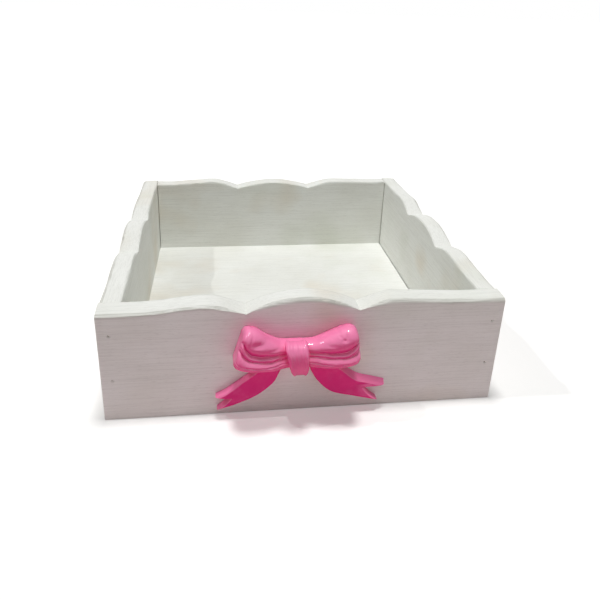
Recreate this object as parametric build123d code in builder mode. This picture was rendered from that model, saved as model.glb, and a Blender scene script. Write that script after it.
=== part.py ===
from build123d import *
import os
from math import cos, radians, sin

os.makedirs("parts", exist_ok=True)

# All sizes are in millimetres. The origin is the middle of the tray's
# underside, +X is to the right seen from the front, +Y to the back, +Z up.

tray_side = 200  # outside length and width
wall = 11  # thickness of the four wall boards
floor_thickness = 8.5  # bottom board, flush with the underside of the walls
floor_gap = 0.6  # open seam between the bottom board and the right wall
half = tray_side / 2
inner = half - wall  # from the middle to the inside of a wall

# Scalloped rim: shoulder, hump, notch, middle arch, notch, hump, shoulder.
notch_height = 57.4
edge_bevel = 1.3  # sanded top edges
climb_slope = 0.4  # steepness of the shoulder where it leaves the notch
# A shoulder climbs from its notch to the top of its hump, then sinks to its end.
# Each row is a distance from the notch and the share of that climb or fall.
hump_climb = ((4.9, 0.33), (9.7, 0.66), (14.2, 0.90), (20.5, 1.0))
hump_fall = ((27.5, 0.22), (35.5, 0.52), (43.5, 0.82), (52.0, 1.0))

# Each rim was marked out by hand: where its middle is, half the arch's width, the
# arch's height, and the heights of its two humps and its two ends, in the board's own x.
front_rim = {"middle": -2.7, "half_arch": 27.7, "arch": 65.0, "humps": (62.8, 62.7), "ends": (60, 61)}
back_rim = {"middle": 0.6, "half_arch": 27.4, "arch": 62.3, "humps": (62.5, 62.2), "ends": (62, 61)}
left_rim = {"middle": 0.4, "half_arch": 24.8, "arch": 63.4, "humps": (61.8, 62.0), "ends": (61, 60)}
right_rim = {"middle": -0.2, "half_arch": 27.1, "arch": 63.7, "humps": (62.2, 63.2), "ends": (61, 62)}

# Gun-driven brads that hold the boards: flat wire with a T head and a chisel point.
brad_length = 20
brad_width = 1.2
brad_thickness = 1.0
brad_tip = 2.0  # length of the point
head_width = 1.9
head_thickness = 0.8
head_sunk = 0.5  # how far a head lies below the wood's face
corner_brad_heights = (23, 48)
floor_brad_spots = (-60, 0, 60)  # along a wall, from the middle

# Bow, cast in one piece and glued to the front board. Its outlines are
# measured from its own middle, and its depths from the board's face.
bow_middle = -5.0
loop_underside = 28  # where the loops' underside meets the board
band_bottom = 34  # lower front edge of the loops
lower_creases = (38.8, 37.0)  # heights of the two fine creases above that edge
lean_height = 39  # the loops' leaning sections pass this height at their own place
knot_width = 11
knot_bevel = 1.3
knot_top = 45.2
knot_bottom = 26.2
knot_reach = 15.0  # how far the knot stands out from the board
tail_thickness = 5.0
tail_bevel = 1.0
prong_round = 1.0

# One section of a loop: share of the loop's length, top of the roll, height of
# the deep crease, reach from the board, and outward lean in degrees.
loop_sections = (
    (0.10, 43.8, 41.0, 10.5, 0),
    (0.32, 45.2, 41.3, 12.5, 0),
    (0.56, 48.4, 41.8, 14.2, 3),
    (0.80, 51.0, 43.0, 14.2, 7),
    (0.94, 51.0, 44.6, 12.0, 10),
    (1.00, 49.2, 44.4, 8.5, 12),
)
left_loop = {"side": -1, "length": 30.8, "raise": 0.6}
right_loop = {"side": 1, "length": 29.3, "raise": -0.6}

# The tails' lower edges run from under the knot to the tip of the lower prong.
left_tail = {
    "side": -1,
    "lower_edge": ((8.6, 27.0), (12.3, 19.8), (20.6, 13.6), (31.3, 9.3), (38.4, 6.6)),
    "lower_tip": (39.9, 9.0),
    "fork": (35.2, 13.0),
    "upper_prong": ((39.6, 15.2), (40.4, 17.6)),
    "upper_edge": ((30.0, 24.0), (22.0, 30.5)),
}
right_tail = {
    "side": 1,
    "lower_edge": ((6.4, 27.0), (10.6, 19.7), (17.0, 14.2), (27.0, 12.0), (38.0, 7.4)),
    "lower_tip": (40.6, 8.8),
    "fork": (36.1, 13.2),
    "upper_prong": ((44.2, 17.4), (43.8, 20.4)),
    "upper_edge": ((30.0, 23.6), (20.0, 30.5)),
}


# A board is drawn on its outer face, x along the board and y up, and is
# extruded inwards. Places along a board are measured from the tray's middle.

front_face = Plane(origin=(0, -half, 0), x_dir=(1, 0, 0), z_dir=(0, -1, 0))
back_face = Plane(origin=(0, half, 0), x_dir=(-1, 0, 0), z_dir=(0, 1, 0))
left_face = Plane(origin=(-half, 0, 0), x_dir=(0, -1, 0), z_dir=(-1, 0, 0))
right_face = Plane(origin=(half, 0, 0), x_dir=(0, 1, 0), z_dir=(1, 0, 0))


def arch_outline(rim):
    """The stretch of a board under its middle arch, from notch to notch."""
    left = rim["middle"] - rim["half_arch"]
    right = rim["middle"] + rim["half_arch"]
    with BuildSketch() as outline:
        with BuildLine():
            Polyline((left, notch_height), (left, 0), (right, 0), (right, notch_height))
            ThreePointArc((left, notch_height), (rim["middle"], rim["arch"]), (right, notch_height))
        make_face()
    return outline.sketch


def shoulder_outline(rim, side, end):
    """The stretch of a board from a notch over the side hump to its end."""
    notch = rim["middle"] + side * rim["half_arch"]
    hump = rim["humps"][0 if side < 0 else 1]
    end_height = rim["ends"][0 if side < 0 else 1]
    climb = [(notch + side * out, notch_height + share * (hump - notch_height))
             for out, share in hump_climb]
    fall = [(notch + side * out, hump + share * (end_height - hump)) for out, share in hump_fall]
    with BuildSketch() as outline:
        with BuildLine():
            Spline((notch, notch_height), *climb, *fall,
                   tangents=[(side, climb_slope), (side, 0)])
            Polyline(fall[-1], (end, end_height), (end, 0), (notch, 0), (notch, notch_height))
        make_face()
    return outline.sketch


def bevelled_stretch(face, outline):
    """An outline given the board's thickness, with its top edges sanded off."""
    across = Axis((0, 0, 0), (face.z_dir.X, face.z_dir.Y, face.z_dir.Z))
    with BuildPart() as stretch:
        with BuildSketch(face):
            add(outline)
        extrude(amount=-wall)
        rim_edges = stretch.edges().filter_by(across, reverse=True).filter_by(
            lambda edge: edge.bounding_box().min.Z > notch_height - 1)
        chamfer(rim_edges, length=edge_bevel)
    return stretch.part


def scalloped_board(face, start, end, rim):
    """A whole wall board: two shoulders with an arch between them."""
    with BuildPart() as board:
        add(bevelled_stretch(face, shoulder_outline(rim, -1, start)))
        add(bevelled_stretch(face, arch_outline(rim)))
        add(bevelled_stretch(face, shoulder_outline(rim, 1, end)))
    return board.part


# Brads. Each spot is a plane on the wood's face whose z points into the wood.

def brad_shape(top):
    """A brad from the depth of its head down, or its hole when top is the wood's face."""
    shoulder = head_sunk + head_thickness
    with BuildPart() as shape:
        with BuildSketch(Plane.XZ) as profile:
            with BuildLine():
                Polyline((0, top), (head_width / 2, top), (head_width / 2, shoulder),
                         (brad_width / 2, shoulder), (brad_width / 2, brad_length - brad_tip),
                         (0, brad_length), close=True)
            make_face()
            mirror(about=Plane.YZ)
        extrude(amount=brad_thickness / 2, both=True)
    return shape.part


brad = brad_shape(head_sunk)
brad_hole = brad_shape(0)


def spots_on(face, places):
    """Planes on a board's face, at (along, height), that point into the wood."""
    return [Plane(origin=face.from_local_coords((along, height, 0)),
                  x_dir=face.x_dir, z_dir=-face.z_dir) for along, height in places]


wall_middle = half - wall / 2
floor_middle = floor_thickness / 2
front_left_spots = spots_on(front_face, [(-wall_middle, height) for height in corner_brad_heights])
front_right_spots = spots_on(front_face, [(wall_middle, height) for height in corner_brad_heights])
back_left_spots = spots_on(left_face, [(-wall_middle, height) for height in corner_brad_heights])
back_right_spots = spots_on(right_face, [(wall_middle, height) for height in corner_brad_heights])
floor_left_spots = spots_on(left_face, [(along, floor_middle) for along in floor_brad_spots])
floor_right_spots = spots_on(right_face, [(along, floor_middle) for along in floor_brad_spots])
floor_back_spots = spots_on(back_face, [(along, floor_middle) for along in floor_brad_spots])


def nailed(board, spots):
    """A board with the holes of the brads that pass into or through it."""
    with BuildPart() as drilled:
        add(board)
        with Locations(*spots):
            add(brad_hole, mode=Mode.SUBTRACT)
    return drilled.part


# The front board covers the side boards' ends, and the back board stands
# between the side boards.

with BuildPart() as front_panel:
    add(nailed(scalloped_board(front_face, -half, half, front_rim),
               front_left_spots + front_right_spots))
front_panel.part.label = "front_panel"
export_step(front_panel.part, "parts/front_panel.step")

with BuildPart() as back_panel:
    add(nailed(scalloped_board(back_face, -inner, inner, back_rim),
               back_left_spots + back_right_spots + floor_back_spots))
back_panel.part.label = "back_panel"
export_step(back_panel.part, "parts/back_panel.step")

with BuildPart() as left_panel:
    add(nailed(scalloped_board(left_face, -half, inner, left_rim),
               front_left_spots + back_left_spots + floor_left_spots))
left_panel.part.label = "left_panel"
export_step(left_panel.part, "parts/left_panel.step")

with BuildPart() as right_panel:
    add(nailed(scalloped_board(right_face, -inner, half, right_rim),
               front_right_spots + back_right_spots + floor_right_spots))
right_panel.part.label = "right_panel"
export_step(right_panel.part, "parts/right_panel.step")

with BuildPart() as floor_panel:
    with BuildSketch():
        with Locations((-inner, -inner)):
            Rectangle(2 * inner - floor_gap, 2 * inner, align=(Align.MIN, Align.MIN))
    extrude(amount=floor_thickness)
    with Locations(*floor_left_spots, *floor_right_spots, *floor_back_spots):
        add(brad_hole, mode=Mode.SUBTRACT)
floor_panel.part.label = "floor_panel"
export_step(floor_panel.part, "parts/floor_panel.step")

brad_groups = {
    "front_left_brads": front_left_spots,
    "front_right_brads": front_right_spots,
    "back_left_brads": back_left_spots,
    "back_right_brads": back_right_spots,
    "floor_left_brads": floor_left_spots,
    "floor_right_brads": floor_right_spots,
    "floor_back_brads": floor_back_spots,
}
for name, spots in brad_groups.items():
    with BuildPart() as brads:
        with Locations(*spots):
            add(brad)
    brads.part.label = name
    export_step(brads.part, f"parts/{name}.step")


# The bow. A loop is lofted through leaning sections, each a roll over a deep
# crease, with two finer creases in the band below it. The tails are flat
# ribbons with forked ends, and the knot is a band across the middle.

def loop_section(loop, share, top, crease, reach, lean):
    """One section of a loop, x out from the board and y up from lean_height."""
    side = loop["side"]
    place = bow_middle + side * loop["length"] * share
    plane = Plane(origin=(place, -half, lean_height), x_dir=(0, -1, 0),
                  z_dir=(-cos(radians(lean)), 0, -side * sin(radians(lean))))
    top = top + loop["raise"] - lean_height
    crease = crease - lean_height
    upper, lower = (height - lean_height for height in lower_creases)
    bottom = band_bottom - lean_height
    with BuildSketch(plane) as section:
        with BuildLine():
            Line((0, top), (0.55 * reach, top + 0.3))
            ThreePointArc((0.55 * reach, top + 0.3), (0.9 * reach, 0.62 * top + 0.38 * crease),
                          (0.84 * reach, crease))
            ThreePointArc((0.84 * reach, crease), (0.96 * reach, 0.5 * (crease + upper)),
                          (0.91 * reach, upper))
            ThreePointArc((0.91 * reach, upper), (0.97 * reach, 0.5 * (upper + lower)),
                          (0.93 * reach, lower))
            ThreePointArc((0.93 * reach, lower), (reach, 0.5 * (lower + bottom)),
                          (0.9 * reach, bottom))
            Polyline((0.9 * reach, bottom), (0, loop_underside - lean_height), (0, top))
        make_face()
    return section.sketch


def bow_loop(loop):
    with BuildPart() as body:
        for section in loop_sections:
            add(loop_section(loop, *section))
        loft(ruled=True)
    return body.part


def bow_tail(tail):
    """A ribbon's end: an S-shaped lower edge, a forked end and rounded edges."""
    side = tail["side"]

    def placed(points):
        return [(bow_middle + side * out, height) for out, height in points]

    lower = placed(tail["lower_edge"])
    rest = placed([tail["lower_edge"][-1], tail["lower_tip"], tail["fork"],
                   *tail["upper_prong"], *tail["upper_edge"], tail["lower_edge"][0]])
    tips = placed([tail["lower_edge"][-1], tail["lower_tip"], *tail["upper_prong"]])
    with BuildPart() as body:
        with BuildSketch(front_face) as outline:
            with BuildLine():
                Spline(*lower)
                Polyline(*rest)
            make_face()
            fillet([outline.vertices().sort_by_distance(tip)[0] for tip in tips], radius=prong_round)
        extrude(amount=tail_thickness)
        chamfer(body.faces().sort_by(Axis.Y)[0].edges(), length=tail_bevel)
    return body.part


def knot_section(across, inset):
    """The band of the knot at a distance across, drawn in by inset all round."""
    plane = Plane(origin=(bow_middle + across, -half, 0), x_dir=(0, -1, 0), z_dir=(-1, 0, 0))
    top = knot_top - inset
    bottom = knot_bottom + inset
    reach = knot_reach - inset
    with BuildSketch(plane) as section:
        with BuildLine():
            Polyline((0, bottom), (0, top), (0.55 * reach, top + 1.6))
            ThreePointArc((0.55 * reach, top + 1.6), (0.95 * reach, top - 2.2), (reach, top - 8.0))
            ThreePointArc((reach, top - 8.0), (0.83 * reach, bottom + 4.4), (0.5 * reach, bottom + 1.4))
            Line((0.5 * reach, bottom + 1.4), (0, bottom))
        make_face()
    return section.sketch


def bow_knot():
    edge = knot_width / 2
    with BuildPart() as body:
        add(knot_section(-edge, knot_bevel))
        add(knot_section(-edge + knot_bevel, 0))
        add(knot_section(edge - knot_bevel, 0))
        add(knot_section(edge, knot_bevel))
        loft(ruled=True)
    return body.part


with BuildPart() as bow:
    add(bow_loop(left_loop))
    add(bow_loop(right_loop))
    add(bow_tail(left_tail))
    add(bow_tail(right_tail))
    add(bow_knot())
bow.part.label = "bow"
export_step(bow.part, "parts/bow.step")
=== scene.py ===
import bpy
import numpy as np
from math import radians
from mathutils import Euler, Matrix, Vector


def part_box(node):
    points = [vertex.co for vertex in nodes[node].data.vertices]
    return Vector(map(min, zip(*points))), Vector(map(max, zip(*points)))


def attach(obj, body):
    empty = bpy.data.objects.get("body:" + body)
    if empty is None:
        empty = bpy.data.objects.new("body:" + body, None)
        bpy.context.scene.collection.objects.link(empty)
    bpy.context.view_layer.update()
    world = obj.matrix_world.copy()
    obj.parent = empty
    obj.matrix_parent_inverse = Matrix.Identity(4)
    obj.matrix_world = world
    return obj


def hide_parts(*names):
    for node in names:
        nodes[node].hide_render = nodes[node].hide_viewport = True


# A square napkin tray of brush-painted softwood boards with scalloped rims, nailed with brads,
# and a cast resin bow in glossy pink enamel. Lengths below are millimetres until a mesh is made.

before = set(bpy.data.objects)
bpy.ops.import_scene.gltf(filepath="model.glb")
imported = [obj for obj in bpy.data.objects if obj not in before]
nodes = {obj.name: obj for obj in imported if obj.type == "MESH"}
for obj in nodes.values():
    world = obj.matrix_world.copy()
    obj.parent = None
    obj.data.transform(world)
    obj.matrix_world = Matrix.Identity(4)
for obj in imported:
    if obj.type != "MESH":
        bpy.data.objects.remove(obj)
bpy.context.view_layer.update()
millimetre = 0.001


# 0 below low, 1 above high, and an S curve between them.
def easeBetween(low, high, x):
    t = np.clip((x - low) / (high - low), 0, 1)
    return t * t * (3 - 2 * t)


# Hand-made unevenness: three sine waves of unrelated lengths added up, in -1..1.
def unevenness(x, wavelength, phase):
    turn = 2 * np.pi * x / wavelength
    return (np.sin(turn + phase) + 0.6 * np.sin(1.62 * turn + 2.3 * phase + 1.1)
            + 0.35 * np.sin(2.7 * turn + 4.1 * phase + 2.7)) / 1.95


# A soft hill of height 1 at the origin of x and y, as wide as the two widths.
def hill(x, y, widthX, widthY):
    return np.exp(-(x / widthX) ** 2 - (y / widthY) ** 2)


# Places from low to high at a coarse step, with a fine step round some of them.
def spacedPlaces(low, high, step, finePlaces):
    fineStep, fineReach = 0.3, 1.8
    runs = [np.linspace(low, high, int((high - low) / step) + 1)]
    for place in finePlaces:
        runs.append(np.arange(place - fineReach, place + fineReach + 1e-6, fineStep))
    places = np.unique(np.round(np.concatenate(runs), 3))
    places = places[(places >= low) & (places <= high)]
    return places[np.concatenate([[True], np.diff(places) > 0.3 * fineStep])]


# A smooth curve through a few measured values: a cubic whose slope at each value is the mean of the slopes
# on its two sides.
def curveThrough(x, places, values):
    places = np.asarray(places, float)
    values = np.asarray(values, float)
    slopes = np.gradient(values, places)
    x = np.clip(x, places[0], places[-1])
    i = np.clip(np.searchsorted(places, x) - 1, 0, len(places) - 2)
    gap = places[i + 1] - places[i]
    t = (x - places[i]) / gap
    return ((2 * t**3 - 3 * t**2 + 1) * values[i] + (t**3 - 2 * t**2 + t) * gap * slopes[i]
            + (3 * t**2 - 2 * t**3) * values[i + 1] + (t**3 - t**2) * gap * slopes[i + 1])


# Faces of a grid of rows x columns; a closed grid also joins its last row to its first.
def gridFaces(rows, columns, closed=False):
    index = np.arange(rows * columns).reshape(rows, columns)
    if closed:
        index = np.vstack([index, index[:1]])
    return np.stack([index[:-1, :-1], index[:-1, 1:], index[1:, 1:], index[1:, :-1]], -1).reshape(-1, 4)


# Puts points in millimetres and four-cornered faces into a mesh, joins points that coincide,
# turns the faces outwards by the sign of the enclosed volume, and shades it smooth. kinds
# gives each face the number of its material, and worn each point's share of sanding.
def makePiece(name, points, faces, sharpAngle, kinds=None, worn=None):
    points = points * millimetre
    keys = np.round(points / (0.002 * millimetre)).astype(np.int64)
    _, first, same = np.unique(keys, axis=0, return_index=True, return_inverse=True)
    points = points[first]
    faces = same.reshape(-1)[faces]
    corner = points[faces]
    volume = (np.cross(corner[:, 1] - corner[:, 0], corner[:, 2] - corner[:, 0]) * corner[:, 0]).sum()
    volume += (np.cross(corner[:, 2] - corner[:, 0], corner[:, 3] - corner[:, 0]) * corner[:, 0]).sum()
    if volume < 0:
        faces = faces[:, ::-1]
    lists, kept = [], []
    for number, face in enumerate(faces.tolist()):
        ring = [v for k, v in enumerate(face) if v != face[k - 1]]
        if len(ring) > 2 and len(set(ring)) == len(ring):
            lists.append(ring)
            kept.append(kinds[number] if kinds else 0)
    mesh = bpy.data.meshes.new(name)
    mesh.from_pydata(points.tolist(), [], lists)
    mesh.polygons.foreach_set("material_index", kept)
    if worn is not None:
        mesh.attributes.new("worn", "FLOAT", "POINT").data.foreach_set("value", worn[first])
    mesh.validate()
    mesh.polygons.foreach_set("use_smooth", np.ones(len(mesh.polygons), bool))
    mesh.set_sharp_from_angle(angle=radians(sharpAngle))
    mesh.update()
    piece = bpy.data.objects.new(name, mesh)
    bpy.context.scene.collection.objects.link(piece)
    return piece


# An sRGB colour written as six hex digits, made linear.
def linearColour(hexDigits):
    channels = [int(hexDigits[i:i + 2], 16) / 255 for i in (0, 2, 4)]
    return tuple(c / 12.92 if c <= 0.04045 else ((c + 0.055) / 1.055) ** 2.4 for c in channels) + (1,)


# Adds one node with its settings, and links or sets its inputs. An input is given by its name,
# with underscores for spaces, or as i and its number.
def addNode(tree, kind, settings=None, **inputs):
    node = tree.nodes.new("ShaderNode" + kind)
    for key, value in (settings or {}).items():
        setattr(node, key, value)
    for key, value in inputs.items():
        name = key.replace("_", " ")
        socket = node.inputs[int(name[1:])] if name[1:].isdigit() else node.inputs[name]
        if isinstance(value, bpy.types.NodeSocket):
            tree.links.new(value, socket)
        else:
            socket.default_value = value
    return node


# A new material whose node tree is still empty, and that tree.
def newMaterial(name):
    material = bpy.data.materials.new(name)
    material.use_nodes = True
    material.node_tree.nodes.clear()
    return material, material.node_tree


paint = {
    "white": "EEEFEA",  # water-based wall white, slightly warm
    "roughness": 0.62,
    "bumpHeight": 0.07,  # millimetres
    "fleckDepth": 0.35,  # of the open grain, where a bristle furrow's is 1
    "worn": "BDBDB4",  # edges rubbed through by sanding
    "wornFrom": 0.30, "wornFull": 0.62, "wornMost": 0.85,
    # Tints over the white, the lowest first. Each follows a cloudy pattern with patches of a
    # size in millimetres across and along the grain, and shift, in millimetres too, sets
    # patterns of one size apart. A tint starts to show where its pattern passes from, and at
    # full it covers its share, most.
    "tints": {
        # where the paint dried thin over the wood
        "thin": {"colour": "E0E0D7", "across": 34, "along": 34, "shift": (0, 0, 0),
                 "detail": 2, "fineness": 0.5, "from": 0.42, "full": 0.72, "most": 0.50},
        # resin showing through as a warm stain, and as a cooler, greenish one
        "warm": {"colour": "D9C9AE", "across": 48, "along": 48, "shift": (310, 170, 50),
                 "detail": 2, "fineness": 0.5, "from": 0.55, "full": 0.75, "most": 0.42},
        "green": {"colour": "D3D8C6", "across": 48, "along": 48, "shift": (120, 430, 210),
                  "detail": 2, "fineness": 0.5, "from": 0.56, "full": 0.74, "most": 0.30},
        # grey in the furrows between bristle marks, and in flecks of open grain
        "furrows": {"colour": "BFBFB8", "across": 0.6, "along": 26, "shift": (0, 0, 0),
                    "detail": 3, "fineness": 0.6, "from": 0.44, "full": 0.72, "most": 0.26},
        "flecks": {"colour": "BFBFB8", "across": 0.4, "along": 3.2, "shift": (0, 0, 0),
                   "detail": 2, "fineness": 0.6, "from": 0.56, "full": 0.74, "most": 0.34},
    },
}


# Brushed white paint on sanded softwood: a matt skin that fills the grain only partly, so
# the eye finds bristle furrows, greyer where they are deep, flecks of open grain, faint warm
# and greenish stains, and grey edges where sanding went through.
# grain is the axis the boards' grain runs on: 0 for X, 1 for Y.
def paintedWood(name, grain):
    material, tree = newMaterial(name)
    place = addNode(tree, "TexCoord").outputs["Object"]
    colour = linearColour(paint["white"])
    patterns = {}
    for key, tint in paint["tints"].items():
        sizes = [tint["across"]] * 3
        sizes[grain] = tint["along"]
        stretched = addNode(tree, "Mapping", None, Vector=place,
                            Location=[shift / size for shift, size in zip(tint["shift"], sizes)],
                            Scale=[1 / (size * millimetre) for size in sizes])
        noise = addNode(tree, "TexNoise", None, Vector=stretched.outputs["Vector"], Scale=1.0,
                        Detail=tint["detail"], Roughness=tint["fineness"])
        patterns[key] = noise.outputs["Fac"]
        amount = addNode(tree, "MapRange", None, Value=patterns[key], i1=tint["from"],
                         i2=tint["full"], i3=0.0, i4=tint["most"])
        colour = addNode(tree, "Mix", {"data_type": "RGBA"}, i0=amount.outputs["Result"],
                         i6=colour, i7=linearColour(tint["colour"])).outputs[2]
    sanding = addNode(tree, "Attribute", {"attribute_name": "worn"})
    streaky = addNode(tree, "MapRange", None, Value=patterns["furrows"], i1=paint["wornFrom"],
                      i2=paint["wornFull"], i3=0.0, i4=paint["wornMost"])
    bare = addNode(tree, "Math", {"operation": "MULTIPLY"}, i0=sanding.outputs["Fac"],
                   i1=streaky.outputs["Result"])
    colour = addNode(tree, "Mix", {"data_type": "RGBA"}, i0=bare.outputs[0], i6=colour,
                     i7=linearColour(paint["worn"]))
    height = addNode(tree, "Math", {"operation": "MULTIPLY_ADD"}, i0=patterns["flecks"],
                     i1=paint["fleckDepth"], i2=patterns["furrows"])
    bump = addNode(tree, "Bump", None, Height=height.outputs[0], Strength=1.0,
                   Distance=paint["bumpHeight"] * millimetre)
    shader = addNode(tree, "BsdfPrincipled", None, Base_Color=colour.outputs[2],
                     Roughness=paint["roughness"], Normal=bump.outputs["Normal"])
    addNode(tree, "OutputMaterial", None, Surface=shader.outputs["BSDF"])
    return material


enamel = {
    "paintedLightPink": "FA80B3",  # painted highlight: paler pink on faces that look up, for the light on them
    "deep": "E8147F",  # painted shade: deeper pink on faces that look forwards or down, for their shade
    # Painted light and shade: the paler pink starts on faces that look up by the first of the shares below
    # and is full at the second. Its edge is ragged, in patches of this many millimetres.
    "paintedLightFrom": 0.20, "paintedLightFull": 0.80, "raggedness": 0.5, "patch": 6,
    "brushMark": 1.3, "brushHeight": 0.12,  # millimetres
    "roughness": 0.55, "ior": 1.5,  # a satin enamel
    "filmRoughness": 0.10,
    # the body's specular level, and the weight of the wet-looking film on it
    # The ribbon ends' copy has little shine, so they show darker: painted shade for the loops' shadow over
    # them.
    "finishes": {"pink_gloss_enamel": (0.5, 0.7), "pink_enamel_painted_shade": (0.25, 0.1)},
}


# Enamel brushed over a resin casting: a satin body whose colour holds painted light and shade, paler pink on
# faces that look up and deep pink on faces that look forwards or down, and a thin film whose small glints
# are broken up by brush marks. The loops and the knot have more of the film, and the ribbon ends nearly
# none, which darkens them as painted shade.
def bowEnamel(name, shine, film):
    material, tree = newMaterial(name)
    coordinates = addNode(tree, "TexCoord")
    place = coordinates.outputs["Object"]
    paintedLightNoise = addNode(tree, "TexNoise", None, Vector=place, Scale=1 / (enamel["patch"] * millimetre),
                   Detail=3)
    marks = addNode(tree, "TexNoise", None, Vector=place, Scale=1 / (enamel["brushMark"] * millimetre),
                    Detail=2)
    # Painted light and shade: the more a face looks up, the paler its pink; faces that look forwards or down
    # stay deep pink.
    upward = addNode(tree, "SeparateXYZ", None, Vector=coordinates.outputs["Normal"])
    paintedLightAmount = addNode(tree, "Math", {"operation": "MULTIPLY_ADD"}, i0=paintedLightNoise.outputs["Fac"],
                      i1=enamel["raggedness"], i2=upward.outputs["Z"])
    paintedLightShare = addNode(tree, "MapRange", {"interpolation_type": "SMOOTHSTEP"},
                    Value=paintedLightAmount.outputs[0], i1=enamel["paintedLightFrom"], i2=enamel["paintedLightFull"])
    colour = addNode(tree, "Mix", {"data_type": "RGBA"}, i0=paintedLightShare.outputs["Result"],
                     i6=linearColour(enamel["deep"]), i7=linearColour(enamel["paintedLightPink"]))
    bump = addNode(tree, "Bump", None, Height=marks.outputs["Fac"], Strength=1.0,
                   Distance=enamel["brushHeight"] * millimetre)
    shader = addNode(tree, "BsdfPrincipled", None, Base_Color=colour.outputs[2],
                     Roughness=enamel["roughness"], IOR=enamel["ior"], Specular_IOR_Level=shine,
                     Coat_Weight=film, Coat_Roughness=enamel["filmRoughness"],
                     Normal=bump.outputs["Normal"])
    addNode(tree, "OutputMaterial", None, Surface=shader.outputs["BSDF"])
    return material


brad = {
    "steel": "8A857E",
    "rust": "6B5545",
    "paint": "D2D2CB",  # the wall paint over a head
    "speck": 0.7,  # millimetres
    "bareFrom": 0.50, "bareFull": 0.60,  # where in the specks' pattern the paint is missing
    "paintRoughness": 0.65, "steelRoughness": 0.4,
}


# Drawn steel wire of the brads, seen as a few grey and rusty specks where the wall paint,
# brushed over their heads, has not covered them.
def bradSteel():
    material, tree = newMaterial("painted_steel_wire")
    place = addNode(tree, "TexCoord").outputs["Object"]
    specks = addNode(tree, "TexNoise", None, Vector=place, Scale=1 / (brad["speck"] * millimetre),
                     Detail=3).outputs["Fac"]
    bare = addNode(tree, "MapRange", None, Value=specks, i1=brad["bareFrom"], i2=brad["bareFull"])
    steel = addNode(tree, "Mix", {"data_type": "RGBA"}, i0=specks, i6=linearColour(brad["steel"]),
                    i7=linearColour(brad["rust"]))
    colour = addNode(tree, "Mix", {"data_type": "RGBA"}, i0=bare.outputs["Result"],
                     i6=linearColour(brad["paint"]), i7=steel.outputs[2])
    roughness = addNode(tree, "MapRange", None, Value=specks, i3=brad["paintRoughness"],
                        i4=brad["steelRoughness"])
    shader = addNode(tree, "BsdfPrincipled", None, Base_Color=colour.outputs[2],
                     Metallic=bare.outputs["Result"], Roughness=roughness.outputs["Result"])
    addNode(tree, "OutputMaterial", None, Surface=shader.outputs["BSDF"])
    return material


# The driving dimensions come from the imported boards: half the tray's width outside and inside,
# the boards' thickness and the bottom board's.
half = round(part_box("front_panel")[1][0] / millimetre, 2)
halfInside = round(-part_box("front_panel")[1][1] / millimetre, 2)
wall = half - halfInside
floorThick = round(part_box("floor_panel")[1][2] / millimetre, 2)
crack = 0.3  # open at each end of the back board

# Brads go through one board into the middle of the end grain behind it, or into the bottom
# board's edge. Each leaves a crater, given by its place along the board and its height.
overEnd = half - wall / 2
cornerBrads = [(overEnd, 23), (overEnd, 48)]
floorBrads = [(along, floorThick / 2) for along in (-60, 0, 60)]

notchHeight = 57.4
# A shoulder climbs from the notch to its hump and sinks to its end: distances from the notch,
# and the shares of that climb and fall.
climb = ((0, 0), (4.9, 0.33), (9.7, 0.66), (14.2, 0.90), (20.5, 1.0))
fall = ((27.5, 0.22), (35.5, 0.52), (43.5, 0.82), (52, 1.0), (60, 1.0))
# Pairs are for the two halves of a board, the lower coordinate first. axis is the one it runs
# along, 0 for X and 1 for Y, and side is where it stands on the other one. arch, humps and ends
# are heights of the solid's rim, tilt is how much higher the rim is on the inside, and phase
# gives each board an unevenness of its own.
boards = {
    "front_board": {"node": "front_panel", "axis": 0, "side": -1, "from": -half, "to": half,
                    "middle": -2.7, "halfArch": 27.7, "arch": 65.0, "humps": (62.8, 62.7),
                    "ends": (60, 61), "tilt": (0.75, 0.25), "phase": 0.4,
                    "craters": [(-along, high) for along, high in cornerBrads] + cornerBrads},
    "back_board": {"node": "back_panel", "axis": 0, "side": 1,
                   "from": crack - halfInside, "to": halfInside - crack,
                   "middle": -0.6, "halfArch": 27.4, "arch": 62.3, "humps": (63.1, 62.6),
                   "ends": (61, 62), "tilt": (0.2, 0.2), "phase": 1.7, "craters": floorBrads},
    "left_board": {"node": "left_panel", "axis": 1, "side": -1, "from": -halfInside, "to": half,
                   "middle": -0.4, "halfArch": 24.8, "arch": 63.4, "humps": (62.0, 61.8),
                   "ends": (60, 61), "tilt": (0.5, 0.3), "phase": 2.9,
                   "craters": cornerBrads + floorBrads},
    "right_board": {"node": "right_panel", "axis": 1, "side": 1, "from": -halfInside, "to": half,
                    "middle": -0.2, "halfArch": 27.1, "arch": 63.7, "humps": (62.2, 63.2),
                    "ends": (61, 62), "tilt": (0.2, 0.3), "phase": 4.6,
                    "craters": cornerBrads + floorBrads},
}
edges = {
    "outerDrop": 1.35,  # how far the sanded outer edge comes down the face
    "outerIn": 1.15,
    "innerDrop": 0.55,
    "innerIn": 0.6,
    "least": 0.12,  # what is left of the outer edge's rounding in a notch
    "fadeReach": 13,  # sanding grows over this distance from a notch
    "endRound": 0.45,
    "footRound": 0.5,
    "crown": 0.22,  # the rim's top is slightly higher in its middle
    "below": 0.3,  # room left under the solid's rim for what is uneven here
    "uneven": 0.12,  # the rim goes up and down by this much
    "wander": 0.07,  # and the outer face lies about this far inside the solid's
    "craterDepth": 0.5, "craterHalfWidth": 0.85, "craterHalfHeight": 0.7,
}


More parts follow.
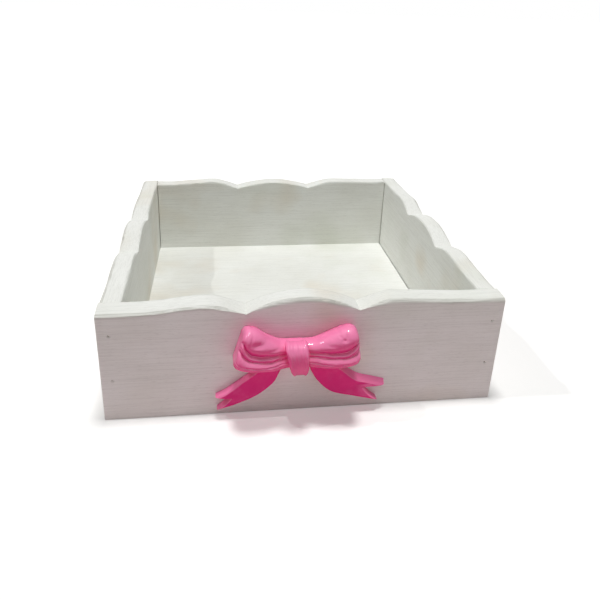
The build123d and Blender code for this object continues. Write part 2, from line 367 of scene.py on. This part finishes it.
# Height of the rim: a circle's arch between the notches, and beyond each notch a curve that
# climbs over the hump and sinks to the board's end.
def rimHeight(place, board):
    away = place - board["middle"]
    reach = board["halfArch"]
    rise = board["arch"] - notchHeight
    radius = (reach**2 + rise**2) / (2 * rise)
    height = board["arch"] - radius + np.sqrt(np.maximum(radius**2 - away**2, 0))
    for side, hump, end in zip((-1, 1), board["humps"], board["ends"]):
        heights = [notchHeight + share * (hump - notchHeight) for _, share in climb]
        heights += [hump + share * (end - hump) for _, share in fall]
        shoulder = curveThrough(side * away - reach, [out for out, _ in climb + fall], heights)
        height = np.where(side * away > reach, shoulder, height)
    return height


# Places along a board, closer together at its notches and craters, and how far its rounded
# ends, each a quarter of a circle, draw in the faces there.
def boardPlaces(board, notches):
    roundness = edges["endRound"]
    nearNotch = 0.25
    inside = spacedPlaces(board["from"] + roundness, board["to"] - roundness, 1.0,
                          sorted({along for along, _ in board["craters"]}))
    inside = inside[np.min(np.abs(inside[:, None] - notches), 1) > nearNotch]
    inside = np.sort(np.concatenate([inside, notches - nearNotch, notches, notches + nearNotch]))
    turn = np.radians([90, 65, 40, 20])
    place = np.concatenate([board["from"] + roundness * (1 - np.sin(turn)), inside,
                            board["to"] - roundness * (1 - np.sin(turn[::-1]))])
    inset = np.concatenate([roundness * (1 - np.cos(turn)), 0 * inside,
                            roundness * (1 - np.cos(turn[::-1]))])
    return place, inset


# A board's cross-section at each place along it, as depths behind its outer face and heights:
# foot, outer face, sanded edge, crowned top, inner edge, inner face, foot. Each edge is a blend
# of a straight bevel and a quarter ellipse. The wavelengths are unrelated, so that no two
# edges wander alike. worn is how far sanding wore the paint.
def boardSection(board, place, notches):
    phase, foot = board["phase"], edges["footRound"]
    toNotch = np.min(np.abs(place[:, None] - notches), 1)
    fade = easeBetween(0, edges["fadeReach"], toNotch)
    height = rimHeight(place, board) - edges["below"]
    height = height + edges["uneven"] * unevenness(place, 31, phase) * easeBetween(0, 4, toNotch)
    tilt = np.where(place < board["middle"], board["tilt"][0], board["tilt"][1])
    tilt = tilt * easeBetween(board["halfArch"] - 4, board["halfArch"] + 20, np.abs(place - board["middle"]))
    outerDrop = edges["outerDrop"] * fade * (1 + 0.22 * unevenness(place, 47, phase + 1)) + edges["least"]
    outerIn = edges["outerIn"] * fade * (1 + 0.22 * unevenness(place, 39, phase + 2)) + edges["least"]
    innerDrop = edges["innerDrop"] * (1 + 0.3 * unevenness(place, 29, phase + 3)) * (0.35 + 0.65 * fade)
    innerIn = edges["innerIn"] * (1 + 0.3 * unevenness(place, 35, phase + 4)) * (0.35 + 0.65 * fade)
    crown = edges["crown"] * (0.4 + 0.6 * fade)

    footTurn = np.radians([0, 30, 60, 90])[:, None]
    up = spacedPlaces(foot, 59, 1.25, sorted({high for _, high in board["craters"]}))
    up = ((up - up[0]) / (up[-1] - up[0]))[1:, None]
    bevel = np.linspace(0, 1, 6)[1:-1, None]
    inward = 0.6 * bevel + 0.4 * (1 - np.cos(np.pi / 2 * bevel))
    upward = 0.6 * bevel + 0.4 * np.sin(np.pi / 2 * bevel)

    def face(drop, cut):
        footDeep = foot * (1 - np.sin(footTurn)) + 0 * place
        footHigh = foot * (1 - np.cos(footTurn)) + 0 * place
        faceHigh = foot + up * (height - drop - foot)
        return (np.vstack([footDeep, 0 * faceHigh, inward * cut]),
                np.vstack([footHigh, faceHigh, height - drop * (1 - upward)]))

    outerDeep, outerHigh = face(outerDrop, outerIn)
    innerDeep, innerHigh = face(innerDrop, innerIn)
    topDeep = outerIn + np.linspace(0, 1, 13)[:, None] * (wall - innerIn - outerIn)
    fromMiddle = topDeep / (wall / 2) - 1
    topHigh = height - crown * fromMiddle**2 + tilt * fromMiddle
    outerHigh[-len(bevel):] -= upward * (crown + tilt)
    innerHigh[-len(bevel):] -= upward * (crown - tilt)
    deep = np.vstack([outerDeep, topDeep, wall - innerDeep[::-1]])
    high = np.vstack([outerHigh, topHigh, innerHigh[::-1]])

    worn = np.zeros(deep.shape)
    topStart, topEnd = len(outerDeep), len(outerDeep) + len(topDeep)
    worn[topStart - len(bevel) - 1:topStart + 1] = 0.3 + 0.7 * fade
    worn[topEnd - 1:topEnd + len(bevel)] = 0.55
    return deep, high, height, worn


# A board is its cross-section carried along its length, with a ladder of faces across its
# thickness at both ends, craters over the brads' heads and an outer face that wanders a little.
def makeBoard(name, board, material):
    notches = board["middle"] + board["halfArch"] * np.array([-1, 1])
    place, inset = boardPlaces(board, notches)
    deep, high, height, worn = boardSection(board, place, notches)
    along = np.broadcast_to(place, deep.shape)
    onOuter = np.exp(-(deep / 0.3) ** 2)
    for craterAlong, craterHigh in board["craters"]:
        away = np.hypot((along - craterAlong) / edges["craterHalfWidth"],
                        (high - craterHigh) / edges["craterHalfHeight"])
        deep = deep + edges["craterDepth"] * (1 - easeBetween(0.6, 1.25, away)) * onOuter
    deep = wall / 2 + (deep - wall / 2) * (1 - inset / (wall / 2))
    high = high + inset * (1 - 2 * high / height)
    wander = edges["wander"] * (1 + unevenness(along, 61, board["phase"]))
    deep = deep + wander * (1 - easeBetween(0, 3, deep)) * (high > 3)

    across = board["side"] * (half - deep)
    points = np.stack([along, across, high] if board["axis"] == 0 else [across, along, high], -1)
    rows, columns = deep.shape
    faces = [gridFaces(rows, columns, closed=True)]
    index = np.arange(rows * columns).reshape(rows, columns)
    k = np.arange(rows // 2)
    for column in (0, -1):
        ring = index[:, column]
        cap = np.stack([ring[k], ring[k + 1], ring[rows - 2 - k], ring[rows - 1 - k]], -1)
        faces.append(cap if column == 0 else cap[:, ::-1])
    piece = makePiece(name, points.reshape(-1, 3), np.vstack(faces), 40, worn=worn.reshape(-1))
    piece.data.materials.append(material)
    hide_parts(board["node"])
    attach(piece, "root")


paintAlongX = paintedWood("brushed_white_paint_along_x", 0)
paintAlongY = paintedWood("brushed_white_paint_along_y", 1)
for name, board in boards.items():
    makeBoard(name, board, paintAlongX if board["axis"] == 0 else paintAlongY)
print("boards made")


bow = {
    "middle": -5.0,
    "fanHigh": 39,  # height of the line on the board that a loop's rays start from
    "blend": 0.12,  # how softly a loop's ellipses run into each other
    "coreLow": 30.5,  # the body behind the rolls ends a little above this height
    "carving": 0.06,  # unevenness all over
    "sharpAngle": 60,  # degrees
}
# Read off the photograph: distances from the bow's middle, then heights of the roll's top, of the three
# creases and of the band's lower edge. reach, how far the loop stands out from the board, is judged. Above
# leanFrom the loop's side draws in by leanUp a millimetre, and below it by leanDown times the square. Each
# dent is a shallow hollow: distance from the middle, height, half width, half height and depth.
leftLoop = {
    "side": -1, "length": 31.9,
    "at": (0, 6, 9.9, 12.8, 16.7, 20.9, 25.5, 28.8, 30.6, 31.9),
    "top": (44.2, 44.2, 44.6, 45.9, 47.9, 50.4, 52.0, 52.3, 52.0, 51.3),
    "crease": (39.4, 39.5, 39.8, 39.7, 39.5, 39.9, 41.2, 44.6, 47.4, 48.6),
    "second": (37.6, 37.8, 37.6, 37.1, 37.2, 38.1, 39.2, 41.0, 42.8, 43.8),
    "third": (36.0, 36.0, 35.7, 35.3, 35.2, 35.5, 36.0, 36.6, 37.3, 37.9),
    "band": (32.3, 32.2, 32.0, 31.9, 32.2, 32.4, 32.7, 33.0, 33.3, 33.7),
    "reach": (10.5, 11.0, 12.0, 13.0, 13.8, 14.2, 14.2, 13.6, 12.8, 11.8),
    "leanFrom": 34.8, "leanUp": 0.30, "leanDown": 0.050, "round": 1.7,
    "dents": ((22.0, 47.2, 4.4, 1.6, 1.1), (26.2, 49.4, 0.9, 2.0, 0.45),
              (13.0, 43.6, 2.6, 0.8, 0.3)),
}
rightLoop = {
    "side": 1, "length": 29.5,
    "at": (0, 4, 7.2, 11.3, 14.8, 18.4, 21.4, 24.2, 27.0, 29.5),
    "top": (44.0, 44.1, 44.5, 46.3, 47.8, 49.4, 50.6, 51.2, 51.1, 49.9),
    "crease": (39.4, 39.5, 39.6, 39.6, 39.5, 39.6, 39.9, 40.7, 43.2, 45.6),
    "second": (38.2, 38.2, 38.2, 38.0, 37.8, 37.8, 37.9, 38.3, 39.2, 40.4),
    "third": (35.7, 35.6, 35.5, 35.2, 35.0, 35.0, 35.2, 35.4, 35.8, 36.3),
    "band": (32.6, 32.3, 32.0, 31.9, 32.1, 32.4, 32.7, 33.0, 33.4, 34.0),
    "reach": (10.5, 11.0, 11.6, 12.8, 13.5, 13.9, 14.0, 13.9, 13.3, 11.8),
    "leanFrom": 36.2, "leanUp": 0.12, "leanDown": 0.030, "round": 1.9,
    "dents": ((21.6, 47.8, 1.6, 0.8, 0.55), (22.8, 49.2, 0.6, 1.1, 0.35),
              (19.4, 49.0, 0.8, 0.6, 0.25), (15.0, 44.8, 3.6, 1.0, 0.3)),
}


# Largest of several distances, with the corner between them rounded by about soft millimetres.
def softMax(values, soft):
    peak = np.max(values, 0)
    return peak + soft * np.log(sum(np.exp((v - peak) / soft) for v in values))


# Distance from the fan's line in direction (c, s) to the far side of an ellipse, given by its
# centre's depth and height and by half its depth and height: the larger root of a quadratic.
def rayToEllipse(c, s, deep, high, halfDeep, halfHigh):
    a, b = c / halfDeep, s / halfHigh
    p, q = -deep / halfDeep, (bow["fanHigh"] - high) / halfHigh
    one, two, three = a * a + b * b, a * p + b * q, p * p + q * q - 1
    inside = two * two - one * three
    return np.where(inside > 0, (np.sqrt(np.maximum(inside, 0)) - two) / one, 0.0)


# A loop is a fan of rays from a line on the board: each ray ends on the outermost of four
# ellipses, so that creases form between them. Grooves and dents are then pressed in, the
# outer end is rounded off and drawn together, and its side leans.
def loopSurface(loop):
    side, length, roundness = loop["side"], loop["length"], loop["round"]
    body = np.linspace(-1.2, length - roundness, 120)  # it starts well inside the knot
    turn = np.radians(np.linspace(0, 90, 12))[1:]
    cap = np.linspace(1, 0, 9)[1:]
    x = np.concatenate([body, length - roundness * (1 - np.sin(turn)), 0 * cap + length])
    inset = np.concatenate([0 * body, roundness * (1 - np.cos(turn)), 0 * cap + roundness])
    shrink = np.concatenate([0 * body + 1, 0 * turn + 1, cap])
    angle = np.radians(np.linspace(-90, 90, 200))[:, None]
    c, s = np.cos(angle), np.sin(angle)
    top, crease, second, third, band, reach = (
        curveThrough(x, loop["at"], loop[key])
        for key in ("top", "crease", "second", "third", "band", "reach"))
    crease = crease + 0.25 * unevenness(x, 11, side)
    second = second + 0.22 * unevenness(x, 9, 1 + side)
    third = third + 0.18 * unevenness(x, 8, 2 + side)
    coreLow = bow["coreLow"]
    ellipses = (
        (0.44 * reach, (top + crease) / 2 - 0.2, 0.45 * reach, (top - crease) / 2 + 0.9),  # upper roll
        (0.42 * reach, (crease + second) / 2, 0.49 * reach, (crease - second) / 2 + 1.35),  # fold
        (0.46 * reach, (second + band) / 2 + 0.2, 0.54 * reach, (second - band) / 2 + 1.3),  # band
        (0 * reach, (top + coreLow) / 2, 0.78 * reach, (top - coreLow) / 2 - 1.3),  # body behind them
    )
    distance = softMax([rayToEllipse(c, s, *ellipse) for ellipse in ellipses], bow["blend"])
    high = bow["fanHigh"] + distance * s
    # thin grooves, deeper here and shallower there: height, half width and depth
    grooves = (
        (second, 0.34, 0.35),
        (third, 0.40, 0.6),
        (0.5 * (third + band) + 0.2, 0.38, 0.45),
        (0.5 * (crease + second), 0.34, 0.4),
        (0.3 * crease + 0.7 * second, 0.3, 0.25),
    )
    for number, (line, narrow, deepest) in enumerate(grooves):
        uneven = 0.65 + 0.35 * unevenness(x, 12, 2 * number + side)
        distance = distance - deepest * uneven * np.exp(-((high - line) / narrow) ** 2) * (c > 0.2)
    for at, dentHigh, wide, tall, deepest in loop["dents"]:
        distance = distance - deepest * hill(x - at, high - dentHigh, wide, tall) * (c > 0)
    carving = unevenness(x + 3 * s, 6.3, 3) * unevenness(high + 0.3 * x, 5.1, 1)
    distance = np.maximum(distance + bow["carving"] * carving - inset, 0.3) * shrink
    deep = distance * c
    high = bow["fanHigh"] + distance * s
    above = high - loop["leanFrom"]
    lean = np.where(above > 0, loop["leanUp"] * above, loop["leanDown"] * above**2)
    out = x - lean * (x / length) ** 2
    return np.stack([bow["middle"] + side * out, -half - deep, high], -1)


# The knot's path from the board under the bow, round its front and back to the board, as
# distances from the board and heights. It leans: its top is further left than its foot.
knot = {
    "deep": (0, 3.0, 6.6, 9.4, 12.0, 14.2, 14.8, 14.2, 12.4, 9.4, 6.0, 2.8, 0),
    "high": (26.0, 26.0, 26.5, 27.8, 30.5, 35.0, 39.2, 42.8, 45.1, 46.0, 45.1, 43.2, 41.8),
    "middleTop": -7.0, "middleFoot": -4.6,
    "halfTop": 5.5, "halfFoot": 2.7, "widens": 18,  # over this height above its foot
    "round": 1.2,
    "axisHigh": 36.0,  # height of the line on the board that its sides close on
    "ridge": 0.4, "ridgeAt": 0.74, "ridgeWide": 0.16,  # the rolled edges, as shares of half its width
    "fold": 0.13, "folds": 2.3,  # the folds' height, and how many fit on half its width
    "lump": 0.5,  # height of the one low on the left, where the band is pinched
}


# The knot is a band along its path: rolled ridges near its two edges, faint folds between them
# and one lump stand out from the band, and its sides shrink onto a line on the board.
def knotSurface():
    steps = np.concatenate([[0], np.cumsum(np.hypot(np.diff(knot["deep"]), np.diff(knot["high"])))])
    run = np.linspace(0, steps[-1], 120)
    deep = curveThrough(run, steps, knot["deep"])[:, None]
    high = curveThrough(run, steps, knot["high"])[:, None]
    slopeDeep, slopeHigh = np.gradient(deep[:, 0])[:, None], np.gradient(high[:, 0])[:, None]
    slope = np.hypot(slopeDeep, slopeHigh)
    outDeep, outHigh = slopeHigh / slope, -slopeDeep / slope
    turn = np.radians(np.linspace(0, 90, 9))[1:]
    cap = np.linspace(1, 0, 8)[1:]
    flat = 1 - knot["round"] / knot["halfTop"]
    middle = np.linspace(-flat, flat, 60)
    side = np.concatenate([flat + (1 - flat) * np.sin(turn), 0 * cap + 1])
    inset = np.concatenate([knot["round"] * (1 - np.cos(turn)), 0 * cap + knot["round"]])
    shrink = np.concatenate([0 * turn + 1, cap])
    across = np.concatenate([-side[::-1], middle, side])
    inset = np.concatenate([inset[::-1], 0 * middle, inset])
    shrink = np.concatenate([shrink[::-1], 0 * middle + 1, shrink])
    share = run[:, None] / steps[-1]
    rolled = np.exp(-((np.abs(across) - knot["ridgeAt"]) / knot["ridgeWide"]) ** 2)
    folds = np.cos(2 * np.pi * across * knot["folds"] + 0.6) * (1 - easeBetween(0.45, 0.7, np.abs(across)))
    relief = (knot["ridge"] * rolled - inset + knot["fold"] * hill(share - 0.62, 0, 0.22, 1) * folds
              + knot["lump"] * hill(share - 0.36, across + 0.62, 0.07, 0.3))
    deep = (deep + outDeep * relief) * shrink
    high = knot["axisHigh"] + (high + outHigh * relief - knot["axisHigh"]) * shrink
    up = np.clip((high - knot["high"][0]) / knot["widens"], 0, 1)
    middle = knot["middleFoot"] + (knot["middleTop"] - knot["middleFoot"]) * up
    width = knot["halfFoot"] + (knot["halfTop"] - knot["halfFoot"]) * up**0.5
    return np.stack([middle + across * width, -half - np.maximum(deep, 0), high], -1)


# Edges of the ribbon ends, from under the knot out to the tips, away from the bow's middle
# and up; fork is how far in the notch is cut, as a share of the length, and lean is how much
# lower the front of the upper edge is than its back. tilt turns the end's front upwards.
leftTail = {
    "side": -1, "fork": 0.19, "thick": 4.6, "lean": 0.0, "tilt": 0.3,
    "lower": ((8.0, 29.0), (9.6, 25.4), (12.3, 20.0), (20.2, 13.2), (30.6, 8.4), (40.0, 5.5)),
    "upper": ((10.0, 33.0), (16.0, 30.5), (22.0, 25.6), (29.0, 20.4), (35.4, 15.6), (40.6, 12.8)),
}
rightTail = {
    "side": 1, "fork": 0.18, "thick": 4.8, "lean": 2.0, "tilt": 1.8,
    "lower": ((5.4, 29.0), (7.0, 25.2), (10.4, 19.6), (17.2, 13.2), (28.6, 9.7), (41.6, 6.3)),
    "upper": ((9.0, 33.5), (15.0, 31.0), (21.5, 27.0), (30.6, 21.0), (38.0, 18.6), (45.2, 16.4)),
}
tails = {
    "border": 1.1,  # the front rounds over within this distance of its edges
    "length": 32.4,  # roughly, to judge how far a point is from the tip
    "ripple": 0.25,  # the front's waves along the ribbon
}


# A ribbon end is a slab between two edge curves; its end is cut back to a V, and its front
# rounds over at every border by the distance to it. Front and back grids share a skirt.
def tailSurface(tail):
    out = np.sin(np.linspace(0, np.pi / 2, 90)) ** 0.9
    up = np.unique(np.concatenate([0.5 - 0.5 * np.cos(np.linspace(0, np.pi, 40)), [0.5]]))[:, None]
    share = np.linspace(0, 1, len(tail["lower"]))
    cut = 1 - tail["fork"] * (1 - np.abs(2 * up - 1))
    run = out * cut
    (lowerX, lowerHigh), (upperX, upperHigh) = (
        [curveThrough(run, share, [point[i] for point in tail[edge]]) for i in (0, 1)]
        for edge in ("lower", "upper"))
    x = lowerX + (upperX - lowerX) * up
    high = lowerHigh + (upperHigh - lowerHigh) * up
    toSide = np.minimum(up, 1 - up) * np.hypot(upperX - lowerX, upperHigh - lowerHigh)
    toEnd = (1 - out) * cut * tails["length"]
    border = tails["border"]
    near = np.minimum(np.minimum(toSide, toEnd), border)
    front = tail["thick"] - border + np.sqrt(border**2 - (border - near) ** 2)
    front = front + tails["ripple"] * np.sin(7 * run + 2 * up) * easeBetween(0, 1, near)
    front = front - tail["tilt"] * up * easeBetween(0.5, 0.8, run)
    lean = tail["lean"] * easeBetween(0.5, 1, up) * easeBetween(0.3, 0.6, run)
    x = bow["middle"] + tail["side"] * x
    return [np.stack([x, -half - front * layer, high - lean * layer], -1) for layer in (1, 0)]


# The loops' inner ends are closed by a fan of faces, and a ribbon end's front and back are
# joined all round. Each shell is its points, its faces and the number of its finish.
def makeBow():
    shells = []
    for loop in (leftLoop, rightLoop):
        grid = loopSurface(loop)
        rows, columns = grid.shape[:2]
        end = np.arange(rows * columns).reshape(rows, columns)[:, 0]
        k = np.arange(1, rows - 1)
        fan = np.stack([end[0 * k], end[k], end[k + 1], end[0 * k]], -1)
        faces = np.vstack([gridFaces(rows, columns, closed=True), fan])
        shells.append((grid.reshape(-1, 3), faces if loop["side"] > 0 else faces[:, ::-1], 0))
    grid = knotSurface()
    shells.append((grid.reshape(-1, 3), gridFaces(*grid.shape[:2], closed=True), 0))
    for tail in (leftTail, rightTail):
        front, back = tailSurface(tail)
        rows, columns = front.shape[:2]
        size = rows * columns
        index = np.arange(size).reshape(rows, columns)
        rim = np.concatenate([index[0, :-1], index[:-1, -1], index[-1, :0:-1], index[:0:-1, 0]])
        nextRim = np.roll(rim, -1)
        faces = np.vstack([gridFaces(rows, columns), gridFaces(rows, columns)[:, ::-1] + size,
                           np.stack([rim, nextRim, nextRim + size, rim + size], -1)[:, ::-1]])
        shells.append((np.vstack([front.reshape(-1, 3), back.reshape(-1, 3)]),
                       faces if tail["side"] > 0 else faces[:, ::-1], 1))
    starts = np.cumsum([0] + [len(shell[0]) for shell in shells[:-1]])
    points = np.vstack([shell[0] for shell in shells])
    faces = np.vstack([shell[1] + start for shell, start in zip(shells, starts)])
    kinds = [shell[2] for shell in shells for _ in shell[1]]
    piece = makePiece("bow_casting", points, faces, bow["sharpAngle"], kinds)
    for name, (shine, film) in enamel["finishes"].items():
        piece.data.materials.append(bowEnamel(name, shine, film))
    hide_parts("bow")
    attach(piece, "root")


makeBow()
print("bow made")


# The bottom board and the brads stay as packed, and get their finishes.
steel = bradSteel()
for name, node in nodes.items():
    if name == "floor_panel" or name.endswith("_brads"):
        node.data.materials.clear()
        node.data.materials.append(paintAlongX if name == "floor_panel" else steel)
print("bottom board and brads finished")


studio = {
    "floor": "F4F4F2",
    "bounce": "F3E0E4",  # what the floor throws back up, faintly pink as round the real tray
    "floorHalf": 6.0,  # metres
    "glowFrom": 0.2, "glowFull": 0.7,  # metres from the tray's middle
    "glowNear": 0.22,  # the floor's own light there, which grows to 1, plain white
    "fill": 0.21,  # the sky's light on the tray
    # places and size in metres, power in watts, and width, of a distant lamp, in degrees
    "overhead": {"place": (0, -0.05, 1.2), "size": 0.2, "power": 8.55},
    "key": {"place": (-0.63, 0.02, 0.78), "width": 1.2, "strength": 0.50},
}


# 1 for rays from the camera, mirror rays and rays through glass, else 0.
def seenDirectly(tree):
    path = addNode(tree, "LightPath")
    seen = path.outputs["Is Camera Ray"]
    for other in ("Is Glossy Ray", "Is Transmission Ray"):
        seen = addNode(tree, "Math", {"operation": "MAXIMUM"}, i0=seen, i1=path.outputs[other]).outputs[0]
    return seen


# White paper: it shows white to the camera and in reflections, through a little light of its
# own that grows away from the tray, and still takes the tray's shadow.
def makeFloor():
    mesh = bpy.data.meshes.new("studio_floor")
    size = studio["floorHalf"]
    mesh.from_pydata([(-size, -size, 0), (size, -size, 0), (size, size, 0), (-size, size, 0)], [],
                     [(0, 1, 2, 3)])
    floor = bpy.data.objects.new("studio_floor", mesh)
    bpy.context.scene.collection.objects.link(floor)
    material, tree = newMaterial("matt_white_paper")
    place = addNode(tree, "TexCoord").outputs["Object"]
    away = addNode(tree, "VectorMath", {"operation": "LENGTH"}, i0=place)
    glow = addNode(tree, "MapRange", None, Value=away.outputs["Value"], i1=studio["glowFrom"],
                   i2=studio["glowFull"], i3=studio["glowNear"], i4=1.0)
    paper = addNode(tree, "BsdfDiffuse", None, Color=linearColour(studio["floor"]))
    light = addNode(tree, "Emission", None, Strength=glow.outputs["Result"])
    white = addNode(tree, "AddShader", None, i0=paper.outputs[0], i1=light.outputs[0])
    bounce = addNode(tree, "BsdfDiffuse", None, Color=linearColour(studio["bounce"]))
    shader = addNode(tree, "MixShader", None, i0=seenDirectly(tree), i1=bounce.outputs[0],
                     i2=white.outputs[0])
    addNode(tree, "OutputMaterial", None, Surface=shader.outputs[0])
    mesh.materials.append(material)


# A lamp that shines from a place towards the origin, under the tray's middle.
def addLamp(name, kind, place, **settings):
    light = bpy.data.lights.new(name, kind)
    for key, value in settings.items():
        setattr(light, key, value)
    lamp = bpy.data.objects.new(name, light)
    bpy.context.scene.collection.objects.link(lamp)
    lamp.location = place
    lamp.rotation_euler = (-Vector(place)).to_track_quat("-Z", "Y").to_euler()


# A white sky that lights the tray softly and shows as plain white.
def makeSky():
    world = bpy.data.worlds.new("studio")
    bpy.context.scene.world = world
    world.use_nodes = True
    tree = world.node_tree
    tree.nodes.clear()
    white = linearColour("FFFFFF")
    fill = addNode(tree, "Background", None, Color=white, Strength=studio["fill"])
    shown = addNode(tree, "Background", None, Color=white, Strength=1.0)
    mixed = addNode(tree, "MixShader", None, i0=seenDirectly(tree), i1=fill.outputs[0],
                    i2=shown.outputs[0])
    addNode(tree, "OutputWorld", None, Surface=mixed.outputs[0])


makeFloor()
overhead, key = studio["overhead"], studio["key"]
addLamp("overhead", "AREA", overhead["place"], shape="SQUARE", size=overhead["size"],
        energy=overhead["power"])
addLamp("side_key", "SUN", key["place"], angle=radians(key["width"]), energy=key["strength"])
makeSky()


# The camera stands where the tray's corners and rim notches in the photograph put it.
photoCamera = {
    "place": (-41.85, -341.24, 200.15),
    "turn": (68.637, -2.019, -7.585),  # degrees round X, Y and Z
    "lens": 34.885, "sensor": 36,
    "shiftY": -0.1333,  # the lens's axis is above the frame's middle, as after cropping
    "near": 0.01, "far": 20,  # metres
}


def makeCamera():
    data = bpy.data.cameras.new("photo_camera")
    camera = bpy.data.objects.new("photo_camera", data)
    bpy.context.scene.collection.objects.link(camera)
    camera.matrix_world = Matrix.LocRotScale(Vector(photoCamera["place"]) * millimetre,
                                             Euler([radians(angle) for angle in photoCamera["turn"]]), None)
    data.sensor_width = photoCamera["sensor"]
    data.lens = photoCamera["lens"]
    data.shift_y = photoCamera["shiftY"]
    data.clip_start, data.clip_end = photoCamera["near"], photoCamera["far"]
    bpy.context.scene.camera = camera


makeCamera()
bpy.context.scene.view_settings.view_transform = "Standard"
print("studio set")
